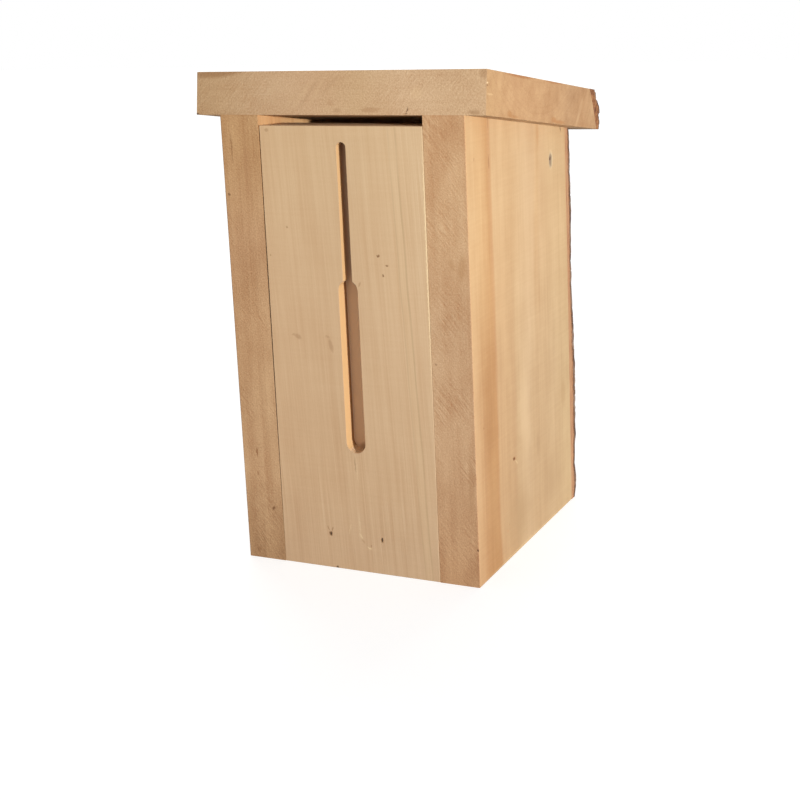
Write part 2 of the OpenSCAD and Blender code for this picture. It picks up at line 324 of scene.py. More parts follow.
# %% [markdown]
# One function then makes each timber. Planed wood is smooth and matt, with fine fibres, and the
# planer leaves faint ripples across it. Sawn wood is rougher: the blade leaves slanting strokes in
# patches and pulls the fibres up into a fuzz. The end of a board shows pores in place of fibres. A
# soft-light mix lays the figure over the board's own colour, which makes the dark parts more orange
# as well as darker, as they are in real wood. The figure's tone moves by about a quarter, so the
# bump that it gives is four times as high as the relief that it should leave.

# %% Timber
UPRIGHT = (0, 0, 0)
ACROSS = (0, math.radians(90), 0)
BUMP_PER_RELIEF = 4
STAIN_FRAY_MM = 16


def timber(name, colour, board_frame=BOARD_FRAME, grain=UPRIGHT, pith=(0, 70, 0), ring_mm=4.0,
           waver_mm=1.5, rings=0.0, fibres=0.0, streaks=0.0, clouds=0.0, fuzz=0.0, strokes=0.0,
           stroke_turn=(0, 0, 0), stroke_mm=(1.3, 20, 20), ripples=0.0, stains=(), marks=(),
           dress=None, roughness=0.8, relief=0.03):
    """A wood material. Weights say how much each pattern shows, and relief is its height in mm."""
    material, tree = new_material(name)
    at = place_mm(tree, board_frame)
    log = add(tree, "Mapping", {"Vector": at, "Location": pith, "Rotation": grain},
              vector_type="TEXTURE")
    parts = []
    if rings:
        parts.append((ring_lines(tree, log, ring_mm, waver_mm), -rings, 0.2))
    if fibres:
        parts.append((mottle(tree, log, (0.9, 0.9, 55), 3.0, 0.6), fibres, 0.5))
    if streaks:
        parts.append((mottle(tree, log, (5, 5, 170)), streaks, 0.5))
    if clouds:
        parts.append((mottle(tree, log, (16, 16, 34)), clouds, 0.5))
    if fuzz:
        parts.append((mottle(tree, at, (1.0, 1.0, 1.0), 3.0, 0.75), fuzz, 0.5))
    if strokes:
        slanted = add(tree, "Mapping", {"Vector": at, "Rotation": stroke_turn},
                      vector_type="TEXTURE")
        patch = add(tree, "MapRange", {0: mottle(tree, at, (24, 24, 40)), 1: 0.35, 2: 0.8})
        stroke = mottle(tree, slanted, stroke_mm, 2.0, 0.6)
        stroke = add(tree, "Mix", {0: patch, 2: 0.5, 3: stroke})
        parts.append((stroke, strokes, 0.5))
    if ripples:
        parts.append((mottle(tree, at, (40, 40, 1.7)), ripples, 0.5))
    tone = sum_up(tree, parts)
    if callable(colour):
        colour = colour(tree, at)
    else:
        colour = linear(colour)
    colour = add(tree, "Mix", {0: 1.0, 6: colour, 7: tone}, out=2, data_type="RGBA",
                 blend_type="SOFT_LIGHT")
    if dress:
        colour = dress(tree, at, colour)
    if stains:
        colour = add_marks(tree, at, colour, stains, STAIN_FRAY_MM, inner_share=0.0)
    if marks:
        colour = add_marks(tree, at, colour, marks)
    bump = add(tree, "Bump", {"Height": tone, "Distance": relief * MM * BUMP_PER_RELIEF})
    shader = add(tree, "BsdfPrincipled", {"Base Color": colour, "Roughness": roughness,
                                          "Specular IOR Level": 0.3, "Normal": bump})
    add(tree, "OutputMaterial", {"Surface": shader}, out=None)
    return material

# %% [markdown]
# The back panel is planed alder, and the palest board. Its rings hardly show: fine lines run down
# it in its lower half and its right third, and lean to the right on their way down. Two of them are
# darker, with paler wood between. Wood that a cutter has just opened is brighter than the skin, so
# the slot's walls get a richer tone. Low on the walls, where the sun no longer reaches, a darker
# tone is painted shade.

# %% Back panel
PANEL_MARKS = on_face(1, 0, [
    ((21, 191.5), (1.1, 3, 1.1), "7E5632", 0.85),
    ((26.3, 186), (1.2, 3, 0.7), "8A6038", 0.8),
    ((23.5, 180.2), (0.9, 3, 1.1), "7E5632", 0.85),
    ((8.4, 174.5), (0.9, 3, 2.2), "AC845C", 0.6, 25),
    ((-36.5, 206), (1, 3, 0.9), "A07A52", 0.6),
    ((-48.5, 189), (0.8, 3, 0.8), "A07A52", 0.5),
    ((-46.3, 261.5), (1.7, 3, 1.5), "A9835C", 0.55),
    ((-33.5, 141.6), (3.4, 3, 1.8), "B08A66", 0.6, 28),
    ((-36.5, 142.6), (1.6, 3, 0.9), "B08A66", 0.5, -10),
    ((-12.2, 137.5), (1.7, 3, 5.4), "B28C68", 0.6, -14),
    ((-14, 142.6), (2, 3, 0.9), "B28C68", 0.5, 10),
    ((-0.3, 66.5), (0.5, 3, 6.5), "A07E5C", 0.5, -2),
    ((0.8, 62), (0.6, 3, 10), "DDC198", 0.5, -2),
    ((-20.4, 24.6), (0.5, 3, 2.2), "8E6A48", 0.55, -28),
    ((-17.9, 24.4), (0.5, 3, 2), "8E6A48", 0.55, 24),
    # The two dark spots over the brads are painted shade in their pits.
    ((-19, 21.5), (1.5, 1, 1.9), "7A5430", 0.9),
    ((15, 21.5), (1.2, 1, 2), "7A5430", 0.9),
    ((1.2, 22), (0.9, 3, 3), "E2C79C", 0.6, -30),
    ((2.4, 19.6), (0.7, 3, 2.6), "A98460", 0.45, -38),
    ((6.2, 15.4), (2, 3, 0.8), "E6CB9E", 0.65, 20),
    ((7.6, 16.9), (0.7, 3, 1.2), "A07A56", 0.5),
    ((-6, 26), (0.6, 3, 5), "DDC196", 0.45, 14),
    ((0.6, 30), (0.5, 3, 9), "E0C59C", 0.5, -3)])
# A dark patch at the foot of the slot's wide pocket, on its floor, is painted shade.
PANEL_MARKS += on_face(1, 10, [((2.5, 74.5), (6, 1.5, 4), "8E6A4A", 0.6)])
# The pale line down the right edge is a painted highlight, where the sun catches it beside the
# side.
PANEL_MARKS += on_face(1, 0, [((50.9, 190), (0.7, 2, 95), "F2D6A8", 0.75),
                              ((-15.6, 0.4), (1.2, 4, 1.4), "5E4028", 0.9)])
GROWTH_LINES = [(44.6, 3.4, "DCBE94", 0.3), (46.8, 0.8, "A88862", 0.45),
                (42.4, 0.7, "A88862", 0.28)]
LEAN = math.radians(-2.7)
LEAN_PER_MM = 0.047


def panel_colour(tree, at):
    """Paler at the top and slightly so to the right, with fine lines low down and at the right."""
    parts = add(tree, "SeparateXYZ", {0: at}, out=0).node.outputs
    high = add(tree, "Math", {0: parts[2], 1: PANEL_HIGH}, operation="DIVIDE")
    colour = add(tree, "ValToRGB", {0: high}, stops=[
        (0.05, "C8A682"), (0.2, "CCA983"), (0.57, "D1AE87"), (0.95, "D4B289")])
    lean = add(tree, "Mapping", {"Vector": at, "Rotation": (0, LEAN, 0)}, vector_type="TEXTURE")
    lines = mottle(tree, lean, (0.8, 3, 90), 3.0, 0.65)
    lines = add(tree, "MapRange", {0: lines, 3: 0.34, 4: 0.66})
    low = add(tree, "MapRange", {0: parts[2], 1: 130.0, 2: 50.0, 3: 0.1, 4: 0.85})
    right = add(tree, "MapRange", {0: parts[0], 1: 22.0, 2: 38.0, 4: 0.85})
    where = add(tree, "Math", {0: low, 1: right}, operation="MAXIMUM")
    where = add(tree, "Math", {0: where, 1: mottle(tree, at, (9, 9, 60))}, operation="MULTIPLY")
    colour = add(tree, "Mix", {0: where, 6: colour, 7: lines}, out=2, data_type="RGBA",
                 blend_type="SOFT_LIGHT")
    side = add(tree, "MapRange", {0: parts[0], 1: -51.0, 2: 51.0, 3: 0.47, 4: 0.545})
    return add(tree, "Mix", {0: 1.0, 6: colour, 7: side}, out=2, data_type="RGBA",
               blend_type="SOFT_LIGHT")


def panel_lines(tree, at, colour):
    """Growth lines that stand out, fresh wood in the slot, and painted shade deep on its walls."""
    parts = add(tree, "SeparateXYZ", {0: at}, out=0).node.outputs
    across = add(tree, "Math", {0: parts[2], 1: LEAN_PER_MM, 2: parts[0]}, operation="MULTIPLY_ADD")
    sway = mottle(tree, at, (200, 200, 50), 1.0)
    across = add(tree, "Math", {0: sway, 1: 1.2, 2: across}, operation="MULTIPLY_ADD")
    fade = add(tree, "MapRange", {0: mottle(tree, at, (200, 200, 38)), 3: 0.25})
    for middle, half_mm, hex_colour, strength in GROWTH_LINES:
        away = add(tree, "Math", {0: across, 1: middle + 0.6}, operation="SUBTRACT")
        away = add(tree, "Math", {0: away}, operation="ABSOLUTE")
        cover = add(tree, "MapRange", {0: away, 1: 0.3 * half_mm, 2: half_mm, 3: strength, 4: 0.0})
        cover = add(tree, "Math", {0: cover, 1: fade}, operation="MULTIPLY")
        colour = add(tree, "Mix", {0: cover, 6: colour, 7: linear(hex_colour)}, out=2,
                     data_type="RGBA")
    deep = add(tree, "Math", {0: parts[1], 1: BOARD_MM}, operation="DIVIDE")
    # Below about 7.6 mm the walls darken towards the floor: painted shade where the sun doesn't
    # reach.
    slot_wood_and_shade = add(tree, "ValToRGB", {0: deep}, stops=[
        (0.28, "D9B07C"), (0.305, "BA9068"), (0.385, "A67E5A"), (0.397, "E1BF9D")])
    inside = add(tree, "MapRange", {0: parts[1], 1: 0.25, 2: 0.5})
    planed = add(tree, "MapRange", {0: parts[1], 1: 24.5, 2: 24.8, 3: 1.0, 4: 0.0})
    inside = add(tree, "Math", {0: inside, 1: planed}, operation="MINIMUM")
    return add(tree, "Mix", {0: inside, 6: colour, 7: slot_wood_and_shade}, out=2, data_type="RGBA")


panel_wood = timber("planed_alder_back", panel_colour, grain=(0, LEAN, 0), pith=(-22, 60, 0),
                    ring_mm=4.2, rings=0.05, fibres=0.1, streaks=0.04, clouds=0.05, fuzz=0.05,
                    ripples=0.03, marks=PANEL_MARKS, dress=panel_lines)
print("material:", panel_wood.name, len(panel_wood.node_tree.nodes), "nodes")

# %% [markdown]
# The sides are planed too, and show broad upright bands: heartwood near the back edge, in orange
# with a sharp front border, then paler sapwood that carries soft darker lines towards the bark. A
# colour ramp across the board is the simple way to draw such bands. There are two, one for the
# upper part, where the heartwood fades, and one for the lower, and the place that they are read at
# drifts forwards down the board. Soft stains, pale and dull, break them up. A dark line painted on
# the left side's inner face, along its joint with the back, is painted shade in that joint.

# %% Sides
def graded(axis, low, high, stops):
    """A colour that changes along one axis of a board's frame, between two places in mm."""
    def colour(tree, at):
        place = add(tree, "SeparateXYZ", {0: at}, out=axis)
        place = add(tree, "MapRange", {0: place, 1: low, 2: high})
        return add(tree, "ValToRGB", {0: place}, stops=stops)
    return colour


BANDS_MM = 160
BANDS_START_Z = 252.5
HIGH_BANDS = [(0, "CCA577"), (8, "CFA97B"), (15, "CCA475"), (22, "C99F70"), (27, "BF9263"),
              (31.5, "C2966A"), (34, "CBA77C"), (60, "C8A479"), (80, "C9A77E"), (102, "C9A77F"),
              (107, "C49F74"), (113, "C6A37A"), (135, "C5A47A"), (160, "C19F75")]
LOW_BANDS = [(0, "C0986E"), (9, "BA9065"), (13, "B3875B"), (24, "B28659"), (30, "B08357"),
             (33.5, "BC976F"), (50, "B9956D"), (62, "B7936C"), (68, "BE9E77"), (92, "C1A27D"),
             (100, "BB9B75"), (118, "BA9A74"), (140, "BA9B75"), (160, "BD9F77")]
SIDE_STAINS = on_face(0, OUTER_X, [
    ((62, 20), (14, 34, 26), "A98862", 0.6, 16),
    ((76, 82), (14, 13, 52), "CDAF88", 0.7),
    ((90, 200), (14, 16, 60), "CDAD85", 0.4),
    ((46, 170), (14, 9, 70), "CDA87D", 0.4),
    ((24, 110), (14, 10, 50), "A97A4F", 0.4),
    ((125, 24), (14, 30, 26), "AB8B66", 0.4),
    ((80, 35), (14, 100, 60), "A98A66", 0.24),
    ((125, 205), (14, 22, 50), "BF9C73", 0.4)])
SIDE_MARKS = on_face(0, OUTER_X, [
    ((98.1, 56.7), (4, 3.6, 10), "AA8A66", 0.5),
    ((145.4, 77.3), (4, 6, 12), "AE8D65", 0.5),
    ((57.6, 59.9), (4, 3.4, 1.7), "A27448", 0.75, -12),
    ((57.2, 59.9), (4, 2, 1.3), "5E3418", 0.95, -12),
    ((44.6, 18.7), (4, 1.4, 1.4), "BE8E62", 0.55),
    ((61, 57), (4, 0.7, 3.5), "D8BC90", 0.5, 50),
    ((148.9, 247), (4, 0.9, 4.6), "7C5C3E", 0.85, 24),
    ((147, 250.4), (4, 0.9, 1.6), "7C5C3E", 0.7, 50),
    ((31.4, 241), (4, 1.2, 5), "9C7048", 0.6),
    ((31.7, 263), (4, 0.9, 5), "A67C54", 0.5),
    ((109, 247), (4, 2.8, 10), "BC8E60", 0.5),
    ((106, 150), (4, 1.5, 14), "B89064", 0.4, -4),
    ((10.6, 245), (4, 0.8, 1.4), "A67C54", 0.55),
    ((158.8, 222), (4, 2.4, 60), "BA885A", 0.8),
    ((12.5, 92), (4, 1, 0.9), "9C7046", 0.6),
    ((82, 0.8), (5, 90, 1.4), "D9BC8C", 0.4),
    ((131, 229.2), (6, 4.6, 7.2), "E8CFA6", 0.8),
    ((130.6, 229), (6, 3.9, 6.4), "8A7660", 0.95),
    # The dark spot in the middle of the filled pivot hole is painted shade.
    ((130.2, 230), (6, 1.5, 1.4), "5A3420", 0.9)])


def side_colour(tree, at):
    """Bands across the board that drift forwards on their way down."""
    parts = add(tree, "SeparateXYZ", {0: at}, out=0).node.outputs
    lower = add(tree, "Math", {0: BANDS_START_Z, 1: parts[2]}, operation="SUBTRACT")
    front = add(tree, "MapRange", {0: parts[1], 1: 40.0, 2: 110.0, 3: -0.01, 4: 0.06})
    band = add(tree, "Math", {0: lower, 1: front, 2: parts[1]}, operation="MULTIPLY_ADD")
    band = add(tree, "Math", {0: mottle(tree, at, (60, 22, 80)), 1: 4.0, 2: band},
               operation="MULTIPLY_ADD")
    band = add(tree, "MapRange", {0: band, 1: 2.0, 2: 2.0 + BANDS_MM})
    high = add(tree, "ValToRGB", {0: band}, stops=[(y / BANDS_MM, c) for y, c in HIGH_BANDS])
    low = add(tree, "ValToRGB", {0: band}, stops=[(y / BANDS_MM, c) for y, c in LOW_BANDS])
    mix = add(tree, "MapRange", {0: parts[2], 1: 215.0, 2: 85.0}, interpolation_type="SMOOTHSTEP")
    return add(tree, "Mix", {0: mix, 6: high, 7: low}, out=2, data_type="RGBA")


right_wood = timber("planed_alder_right_side", side_colour, pith=(150, 70, 0), ring_mm=5.0,
                    rings=0.03, fibres=0.07, streaks=0.06, clouds=0.1, fuzz=0.04, ripples=0.04,
                    stains=SIDE_STAINS, marks=SIDE_MARKS)
left_wood = timber("planed_alder_left_side", graded(1, 0, BANDS_MM, [
    (0, "CCA273"), (0.1, "C89A69"), (0.45, "C69866"), (0.62, "C99F70"), (0.68, "CDAA7F"),
    (0.86, "C7A278"), (1, "C29E74")]), pith=(-160, 90, 0), ring_mm=4.6, rings=0.1, fibres=0.12,
    streaks=0.2, clouds=0.08, ripples=0.04,
    # A dark line on the inner face along the joint with the back is painted shade.
    marks=on_face(0, -INNER_X, [((1.2, 120), (1.2, 2.6, 150), "4A3426", 0.95)])
    + on_face(0, -OUTER_X, [((130.5, 229.5), (6, 3, 4.6), "7E6C5A", 1)]))
print("materials:", right_wood.name, left_wood.name)

# %% [markdown]
# The sides' back edges were left as the saw cut them. The strokes of the blade slant down to the
# right in patches, and the rest is a fine fuzz with soft brown clouds. The roof's back edge is cut
# the same way, with its grain lying across, and its strokes slant the other way.

# %% Sawn edges
LEFT_MARKS = on_face(1, 0, [
    ((-66.7, 67.7), (0.9, 3, 3.6), "8A5C38", 0.7, -3),
    ((-67, 54.3), (0.8, 3, 1.8), "8E603C", 0.6),
    ((-57.4, 33.1), (1.2, 3, 1.9), "6E4628", 0.75, 25),
    ((-54.8, 36), (0.6, 3, 3), "C9A276", 0.5, 30),
    ((-70, 251), (0.6, 3, 11), "8E6440", 0.6, -2),
    ((-73.8, 224), (1.1, 3, 1.2), "6E4A2C", 0.7),
    ((-61, 240), (2.6, 3, 22), "B0825A", 0.45),
    ((-69.5, 5), (2, 3, 2.5), "8C6440", 0.5)])
RIGHT_MARKS = on_face(1, 0, [
    ((75.9, 23), (0.8, 3, 1), "4E3020", 0.85),
    ((54, 131), (0.8, 3, 1.2), "8E6440", 0.5),
    ((73, 60), (2.2, 3, 30), "AC8058", 0.4),
    ((71.8, 187), (3.2, 3, 10), "B6875A", 0.45, 8),
    ((66, 188), (2.6, 3, 5), "B6875A", 0.35, -20),
    ((67, 236), (4, 3, 6), "DDB58A", 0.4, 30)])
saw_turn = (0, math.radians(-38), 0)
left_edge = timber("sawn_alder_left_edge", graded(2, 0, PANEL_HIGH, [
    (0.04, "AC855F"), (0.2, "C19971"), (0.38, "BD946C"), (0.57, "C1976E"), (0.76, "BD926A"),
    (0.95, "BF9467")]), pith=(-80, -40, 0),
    fibres=0.08, streaks=0.14, clouds=0.24, fuzz=0.34, strokes=0.3, stroke_turn=saw_turn,
    stroke_mm=(1.0, 8, 8), marks=LEFT_MARKS, roughness=0.9, relief=0.08)
right_edge = timber("sawn_alder_right_edge", graded(2, 0, PANEL_HIGH, [
    (0.04, "BB8F68"), (0.35, "CBA37C"), (0.57, "CDA67F"), (0.76, "CFA57B"), (0.95, "CEA277")]),
    pith=(80, -40, 0),
    fibres=0.05, streaks=0.1, clouds=0.24, fuzz=0.34, strokes=0.36, stroke_turn=saw_turn,
    stroke_mm=(1.1, 10, 10), marks=RIGHT_MARKS, roughness=0.9, relief=0.08)
print("materials:", left_edge.name, right_edge.name)

# %% [markdown]
# The roof is one wide board whose grain runs across the house, so its right and left ends are end
# grain. The rings show there faintly, as arcs that sag, with orange stains along the top and bottom
# edges and a pale ray by the bark. Its top face is planed, and has the long lines of the same
# rings.

# %% Roof
ROOF_BACK_MARKS = on_face(1, 0, [
    ((-78, 23.8), (25, 4, 3.6), "A87B51", 0.7, -4),
    ((-91.2, 0.4), (1.8, 4, 0.8), "5A4436", 0.8),
    ((-22, 12), (2, 4, 15), "D9B78C", 0.35, 38),
    ((-18, 12), (1.4, 4, 14), "B8926C", 0.25, 36),
    ((-13, 13), (1.8, 4, 13), "D9B78C", 0.3, 30),
    ((-30, 8), (1.4, 4, 10), "D9B78C", 0.25, 42),
    ((-42, 14), (1.3, 4, 12), "D9B78C", 0.25, 40),
    ((-5, 16), (1.2, 4, 12), "B8926C", 0.25, 42),
    ((-0.1, 2.6), (3.2, 4, 1.8), "B48C66", 0.5),
    ((20.3, 2.8), (8, 4, 2), "B0865F", 0.55),
    ((42.8, 2.8), (0.5, 4, 2.2), "5E4430", 0.85, 15),
    ((42.2, 0.9), (1.2, 4, 0.5), "6E5038", 0.7),
    ((-4.5, 6.5), (3, 4, 2.2), "BC9068", 0.4, 20),
    ((48, 12), (5, 4, 5), "D9B78C", 0.35),
    ((87.5, 22), (4, 4, 4), "A47C56", 0.5),
    ((82, 1.6), (5, 4, 1.8), "96704C", 0.5)])
ROOF_END_MARKS = on_face(0, ROOF_RIGHT, [
    ((48, 24.2), (5, 30, 1.7), "A0683C", 0.7),
    ((103, 24.3), (5, 22, 1.5), "A0683C", 0.5),
    ((18, 20), (5, 5, 7), "CDA67A", 0.3),
    ((34, 2.6), (5, 5, 2.2), "A6703F", 0.45),
    ((40, 1.2), (5, 12, 1.2), "A6703F", 0.4),
    ((105, 2.4), (5, 6, 2.2), "A8703F", 0.45),
    ((114, 1.3), (5, 14, 1.6), "A8703F", 0.5),
    ((160, 2), (5, 16, 1.6), "A97C54", 0.3),
    ((151.5, 10), (5, 3.2, 13), "C4A078", 0.35, -33),
    ((147.5, 4), (5, 2.6, 8), "C8A47C", 0.3, -33),
    ((163, 15), (5, 4, 14), "C09A72", 0.35, -24),
    ((0.8, 17.2), (5, 1.5, 0.7), "E6C99E", 0.75),
    ((5, 11.4), (5, 6, 0.7), "D2AE80", 0.6),
    ((0.4, 15.9), (5, 1.9, 0.6), "7A5636", 0.7)])
roof_back = timber("sawn_alder_roof_edge", graded(0, -90, 90, [
    (0.06, "CDA67B"), (0.22, "D3AE86"), (0.4, "CDA67F"), (0.56, "CBA77E"), (0.72, "CBA781"),
    (0.9, "C6A37D")]),
    ROOF_FRAME, ACROSS, pith=(0, 75, 90), fibres=0.06, streaks=0.03, clouds=0.14, fuzz=0.38,
    strokes=0.2, stroke_turn=(0, math.radians(40), 0), stroke_mm=(1.1, 12, 12),
    marks=ROOF_BACK_MARKS, roughness=0.9, relief=0.08)
roof_end = timber("end_grain_alder_roof", graded(1, 0, 185, [
    (0.045, "B79066"), (0.22, "BB936A"), (0.53, "B48C64"), (0.71, "AF8963"), (0.85, "A8805A"),
    (0.94, "B08A63")]),
    ROOF_FRAME, ACROSS, pith=(0, 76, 92), ring_mm=3.4, waver_mm=1.2, rings=0.05, streaks=0.1,
    clouds=0.16, fuzz=0.2, marks=ROOF_END_MARKS, roughness=0.85, relief=0.05)
roof_top = timber("planed_alder_roof", "CBA880", ROOF_FRAME, ACROSS, pith=(0, 76, 92), ring_mm=3.4,
                  rings=0.3, fibres=0.14, streaks=0.2, clouds=0.1)
print("materials:", roof_back.name, roof_end.name, roof_top.name)

# %% [markdown]
# The front door, the floor and the button come from the same stock. The hidden ends of the upright
# boards are plain end grain.

# %% Other timbers
door_wood = timber("planed_alder_door", "CBA67D", pith=(14, 190, 0),
                   grain=(0, math.radians(1.5), 0), ring_mm=5.0, waver_mm=3.0, rings=0.34,
                   fibres=0.16, streaks=0.22, clouds=0.1, marks=on_face(1, 131, [
                       ((-31, 92), (1.6, 4, 2.6), "7A4E2A", 0.85, 20),
                       ((34, 204), (0.9, 4, 1.2), "8A5C36", 0.8)]))
floor_wood = timber("planed_alder_floor", "C29C74", grain=ACROSS, pith=(0, 70, -60), ring_mm=4.4,
                    rings=0.28, fibres=0.14, streaks=0.2, clouds=0.1, fuzz=0.08)
button_wood = timber("planed_alder_button", "B98A5C", grain=ACROSS, pith=(0, 160, -12), ring_mm=2.6,
                     rings=0.3, fibres=0.2, streaks=0.2, roughness=0.5)
panel_end, end_wood = (timber(name, colour, ring_mm=3.6, rings=rings, clouds=0.2, fuzz=0.3,
                              roughness=0.82, relief=0.06)
                       for name, colour, rings in (("end_grain_alder_back", "D2B08A", 0.2),
                                                   ("end_grain_alder", "B48B63", 0.3)))
print("materials:", [m.name for m in (door_wood, floor_wood, button_wood, panel_end, end_wood)])

# %% [markdown]
# Bark has three layers. Next to the wood lies the orange-brown inner bark, then a reddish cork, and
# outside it the dark, weathered skin, whose plates turn grey on top and stay brown in the furrows.
# Each point of the bark pieces carries the layer that it lies in, from 0 at the wood to 3 at the
# skin, and how deep in a furrow it is. A little grit frays the borders between the layers.

# %% Bark
bark, tree = new_material("alder_bark")
at = place_mm(tree, BOARD_FRAME)
layer = add(tree, "Attribute", out="Fac", attribute_name="layer")
crack = add(tree, "Attribute", out="Fac", attribute_name="crack")
grit = mottle(tree, at, (0.9, 0.9, 1.4), 4.0, 0.7)
sheets = mottle(tree, at, (2.2, 0.5, 14), 3.0, 0.6)
ragged = add(tree, "Math", {0: grit, 1: 0.5, 2: layer}, operation="MULTIPLY_ADD")
inner = add(tree, "ValToRGB", {0: sheets}, stops=[
    (0.15, "A27150"), (0.5, "B98863"), (0.85, "C79D76")])
crumbs = mottle(tree, at, (1.8, 1.8, 2.6), 4.0, 0.7)
cork = add(tree, "ValToRGB", {0: crumbs}, stops=[
    (0.15, "5C341F"), (0.5, "8C5A37"), (0.85, "B98352")])
patches = mottle(tree, at, (6, 6, 10), 3.0, 0.6)
plate = add(tree, "ValToRGB", {0: patches}, stops=[
    (0.15, "4B352B"), (0.5, "725745"), (0.9, "957F6D")])
gritty = add(tree, "Mix", {0: 0.5, 6: plate, 7: grit}, out=2, data_type="RGBA",
             blend_type="OVERLAY")
furrow = add(tree, "MapRange", {0: crack, 1: 0.25, 4: 0.8})
skin = add(tree, "Mix", {0: furrow, 6: gritty, 7: linear("4C352A")}, out=2, data_type="RGBA")
is_cork = add(tree, "MapRange", {0: ragged, 1: 1.1, 2: 1.4})
is_skin = add(tree, "MapRange", {0: ragged, 1: 2.1, 2: 2.4})
colour = add(tree, "Mix", {0: is_cork, 6: inner, 7: cork}, out=2, data_type="RGBA")
colour = add(tree, "Mix", {0: is_skin, 6: colour, 7: skin}, out=2, data_type="RGBA")
bump = add(tree, "Bump", {"Height": grit, "Distance": 0.35 * MM})
shader = add(tree, "BsdfPrincipled", {"Base Color": colour, "Roughness": 0.9,
                                      "Specular IOR Level": 0.3, "Normal": bump})
add(tree, "OutputMaterial", {"Surface": shader}, out=None)
print("material:", bark.name)

# %% [markdown]
# The nails, brads, screw and washer are zinc-plated steel that has weathered: a dull grey metal
# with a little spangle, and faint brown where the plating has worn through.

# %% Steel
steel, tree = new_material("zinc_plated_steel")
at = place_mm(tree, BOARD_FRAME)
spangle = mottle(tree, at, (1.4, 1.4, 1.4), 2.0, 0.6)
worn = add(tree, "MapRange", {0: mottle(tree, at, (0.8, 0.8, 0.8), 4.0, 0.7), 1: 0.68, 2: 0.85})
colour = add(tree, "ValToRGB", {0: spangle}, stops=[(0.2, "7E7C78"), (0.8, "A3A19C")])
colour = add(tree, "Mix", {0: worn, 6: colour, 7: linear("7A5A40")}, out=2, data_type="RGBA")
dull = add(tree, "MapRange", {0: spangle, 3: 0.42, 4: 0.6})
bump = add(tree, "Bump", {"Height": spangle, "Distance": 0.03 * MM})
shader = add(tree, "BsdfPrincipled", {"Base Color": colour, "Metallic": 1.0, "Roughness": dull,
                                      "Normal": bump})
add(tree, "OutputMaterial", {"Surface": shader}, out=None)
print("material:", steel.name)

# %% [markdown]
# The boards themselves start as copies of the frame's solids, whose loose triangles are first
# merged into whole faces. A real board has no knife edges: a plane or a bit of handling takes off
# about half a millimetre. So the long edges are bevelled, and the edges against the bark stay as
# they are. Each face then gets the timber for the way it was cut: planed, sawn or end grain. Two
# angles sort the edges: past the first one an edge is a corner to bevel, and under the second it
# shades smoothly.

# %% Helpers for boards
MERGE_MM = 0.002
FLAT_ANGLE, CORNER_ANGLE, SMOOTH_ANGLE = (math.radians(d) for d in (0.4, 40, 24))


def board_copy(node):
    """A bmesh of a CAD node, with its triangles merged and its flat faces made whole."""
    bm = bmesh.new()
    bm.from_mesh(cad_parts[node].data)
    bmesh.ops.remove_doubles(bm, verts=bm.verts, dist=MERGE_MM * MM)
    bmesh.ops.dissolve_limit(bm, angle_limit=FLAT_ANGLE, verts=bm.verts, edges=bm.edges)
    return bm


def soften(bm, width_mm, keep, longer_mm=12, segments=2):
    """Bevels the long sharp edges whose ends, in mm in the board's frame, pass keep(a, b)."""
    shift = Vector((-HOUSE_X, -BACK_Y, 0))
    edges = [e for e in bm.edges
             if len(e.link_faces) == 2 and e.calc_face_angle() > CORNER_ANGLE
             and e.calc_length() > longer_mm * MM
             and keep(*(v.co / MM + shift for v in e.verts))]
    bmesh.ops.bevel(bm, geom=edges, offset=width_mm * MM, offset_type="OFFSET", segments=segments,
                    profile=0.5, affect="EDGES", material=-1, clamp_overlap=True)
    return len(edges)


def finish_piece(name, bm, materials, choose, body, slot, *nodes):
    """Makes the object, with smooth curves and sharp corners, and ties it to the frame."""
    for face in bm.faces:
        face.smooth = True
        face.material_index = choose(face)
    for edge in bm.edges:
        edge.smooth = len(edge.link_faces) == 2 and edge.calc_face_angle() < SMOOTH_ANGLE
    mesh = bpy.data.meshes.new(name)
    bm.to_mesh(mesh)
    bm.free()
    for material in materials:
        mesh.materials.append(material)
    piece = new_object(name, mesh)
    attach(piece, body)
    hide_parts(*nodes)
    print(name, len(mesh.polygons), "faces")


def by_normal(x=0, y=0, z=0):
    """Picks a material by the axis that a face looks along most."""
    def choose(face):
        size = [abs(n) for n in face.normal]
        return (x, y, z)[size.index(max(size))]
    return choose

# %% [markdown]
# The panel first. Its right edge gets the widest bevel, and a pale line painted along it is a
# painted highlight, the thin bright line of sun next to the side. Its left edge is drawn in, by 0.3
# mm at the foot and 0.8 mm at the top, and leaves a dark line there. Its top edge falls by 1.15 mm
# towards the inside. The brads sit in narrow pits, so the round rims of their holes are squeezed to
# that form.

# %% Panel piece
FOOT_GAP_MM, GAP_GROWTH_MM, TOP_FALL_MM = 0.3, 0.6, 1.15
BRAD_Z = 21.5
BACK_BRADS_X = (-19, 15)

bm = board_copy("back_panel")
for vert in bm.verts:
    if vert.co.x < (HOUSE_X - INNER_X + 0.1) * MM:
        vert.co.x += (FOOT_GAP_MM + GAP_GROWTH_MM * vert.co.z / house_high[2]) * MM
top_inside = [v for v in bm.verts
              if v.co.z > (PANEL_HIGH - 0.1) * MM and v.co.y > (BACK_Y + BOARD_MM - 1) * MM]
bmesh.ops.translate(bm, verts=top_inside, vec=(0, 0, -TOP_FALL_MM * MM))
for x in BACK_BRADS_X:
    rim = [v for v in bm.verts if math.hypot(v.co.x / MM - HOUSE_X - x, v.co.z / MM - BRAD_Z) < 1.4
           and v.co.y / MM < BACK_Y + 1.2]
    bmesh.ops.scale(bm, verts=rim, vec=(0.35, 1, 1.3),
                    space=Matrix.Translation((-(HOUSE_X + x) * MM, 0, -BRAD_Z * MM)))
soften(bm, 0.5, lambda a, b: min(a.x, b.x) > INNER_X - 0.5)
